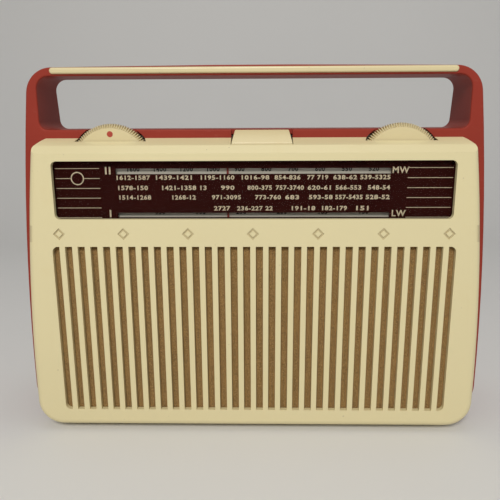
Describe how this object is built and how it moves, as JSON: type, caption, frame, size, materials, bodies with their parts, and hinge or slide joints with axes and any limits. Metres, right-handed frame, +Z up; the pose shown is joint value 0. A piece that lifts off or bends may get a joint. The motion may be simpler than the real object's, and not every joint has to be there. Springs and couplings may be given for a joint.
{
  "type": "portable radio",
  "caption": "Portable transistor radio with a red moulded case and carrying handle, cream slotted front, dial with pointer, two thumbwheels and a waveband key",
  "frame": {"origin": "on the ground under the middle of the radio, which stands on its rubber feet", "axes": "X runs along the front to the right, Y from the front to the back, Z up"},
  "size_m": [0.2278, 0.066, 0.1787],
  "materials": {
    "case_red": "moulded, semi-gloss, brick red",
    "front_cream": "moulded, semi-gloss, aged cream",
    "strip_cream": "moulded cream strip",
    "wheel_cream": "moulded cream, serrated edge",
    "dot_red": "red paint",
    "key_cream": "moulded cream",
    "dial_clear": "clear acrylic",
    "dial_maroon": "printed dark maroon",
    "number_white": "white printed strip",
    "pointer_red": "dark red pointer",
    "cloth_brown": "woven speaker cloth, gold brown",
    "hardboard": "pressed board",
    "steel": "plated steel",
    "brass_parts": "plain brass",
    "shaft_aluminium": "plain aluminium",
    "control_plastic": "phenolic, dark",
    "cone_paper": "pressed paper",
    "magnet_iron": "dark iron",
    "tray_grey": "moulded grey",
    "battery_card": "plain printed card sleeve",
    "board_brown": "phenolic paper board",
    "transistor_black": "black lacquer",
    "resistor_tan": "lacquered ceramic",
    "coil_copper": "enamelled copper winding",
    "cord_thread": "waxed thread",
    "foot_rubber": "black rubber"
  },
  "bodies": {
    "case": {"rear_case": "case_red", "front_panel": "front_cream", "handle_strip": "strip_cream", "dial_glass": "dial_clear", "scale_plate": "dial_maroon", "number_strip": "number_white", "speaker_cloth": "cloth_brown", "baffle_board": "hardboard", "speaker_basket": "steel", "chassis_plate": "steel", "chassis_screws": "steel", "speaker_screws": "steel", "board_screws": "steel", "case_screws": "steel", "pointer_rail": "steel", "idler_pins": "steel", "board_standoffs": "steel", "capacitor_frame": "steel", "coil_cans": "steel", "capacitor_stator": "steel", "tuning_bearing": "brass_parts", "battery_contacts": "brass_parts", "battery_terminals": "brass_parts", "electrolytics": "shaft_aluminium", "volume_control": "control_plastic", "band_switch": "control_plastic", "rod_clamps": "control_plastic", "voice_coil": "control_plastic", "speaker_cone": "cone_paper", "dust_cap": "cone_paper", "speaker_magnet": "magnet_iron", "driver_transformer": "magnet_iron", "output_transformer": "magnet_iron", "ferrite_rod": "magnet_iron", "battery_tray": "tray_grey", "batteries": "battery_card", "circuit_board": "board_brown", "transistors": "transistor_black", "resistors": "resistor_tan", "disc_capacitors": "resistor_tan", "aerial_coils": "coil_copper", "dial_cord": "cord_thread", "rubber_feet": "foot_rubber"},
    "volume": {"volume_wheel": "wheel_cream", "volume_shaft": "shaft_aluminium", "volume_dot": "dot_red"},
    "tuning": {"tuning_wheel": "wheel_cream", "tuning_shaft": "steel", "cord_spool": "control_plastic", "drive_pinion": "brass_parts"},
    "capacitor": {"capacitor_gear": "brass_parts", "capacitor_rotor": "steel"},
    "pointer": {"pointer": "pointer_red"},
    "left_idler": {"left_idler": "control_plastic"},
    "right_idler": {"right_idler": "control_plastic"},
    "key": {"band_key": "key_cream", "band_slider": "control_plastic"},
    "cover": {"back_cover": "case_red"},
    "cover_screw": {"cover_screw": "steel"}
  },
  "joints": [
    {"name": "volume_turn", "type": "hinge", "parent": "case", "child": "volume", "pos_m": [-0.0665, -0.021, 0.13315], "axis": [0, 1, 0], "range_deg": [0, 300]},
    {"name": "tuning_turn", "type": "hinge", "parent": "case", "child": "tuning", "pos_m": [0.0687, -0.021, 0.13315], "axis": [0, 1, 0], "range_deg": [-324, 212]},
    {"name": "capacitor_turn", "type": "hinge", "parent": "case", "child": "capacitor", "pos_m": [0.0519, -0.0105, 0.13315], "axis": [0, 1, 0], "range_deg": [-72, 110]},
    {"name": "pointer_slide", "type": "slide", "parent": "case", "child": "pointer", "axis": [1, 0, 0], "range_m": [-0.048, 0.073]},
    {"name": "left_idler_turn", "type": "hinge", "parent": "case", "child": "left_idler", "pos_m": [-0.086, -0.016, 0.10854], "axis": [0, 1, 0], "range_deg": [-990, 650]},
    {"name": "right_idler_turn", "type": "hinge", "parent": "case", "child": "right_idler", "pos_m": [0.086, -0.016, 0.10854], "axis": [0, 1, 0], "range_deg": [-990, 650]},
    {"name": "key_press", "type": "slide", "parent": "case", "child": "key", "axis": [0, 0, 1], "range_m": [-0.0025, 0], "stiffness_N_per_m": 300},
    {"name": "cover_swing", "type": "hinge", "parent": "case", "child": "cover", "pos_m": [0, 0.03118, 0.01375], "axis": [-1, 0, 0], "range_deg": [0, 80]},
    {"name": "cover_screw_turn", "type": "hinge", "parent": "cover", "child": "cover_screw", "pos_m": [0, 0.02249, 0.07051], "axis": [0, 0.9857, 0.1684], "range_deg": [0, 360]}
  ],
  "couplings": [
    {"joint": "capacitor_turn", "follows": "tuning_turn", "ratio": -0.33333},
    {"joint": "pointer_slide", "follows": "tuning_turn", "m_per_rad": -0.0127},
    {"joint": "left_idler_turn", "follows": "tuning_turn", "ratio": 3.0238},
    {"joint": "right_idler_turn", "follows": "tuning_turn", "ratio": 3.0238}
  ]
}
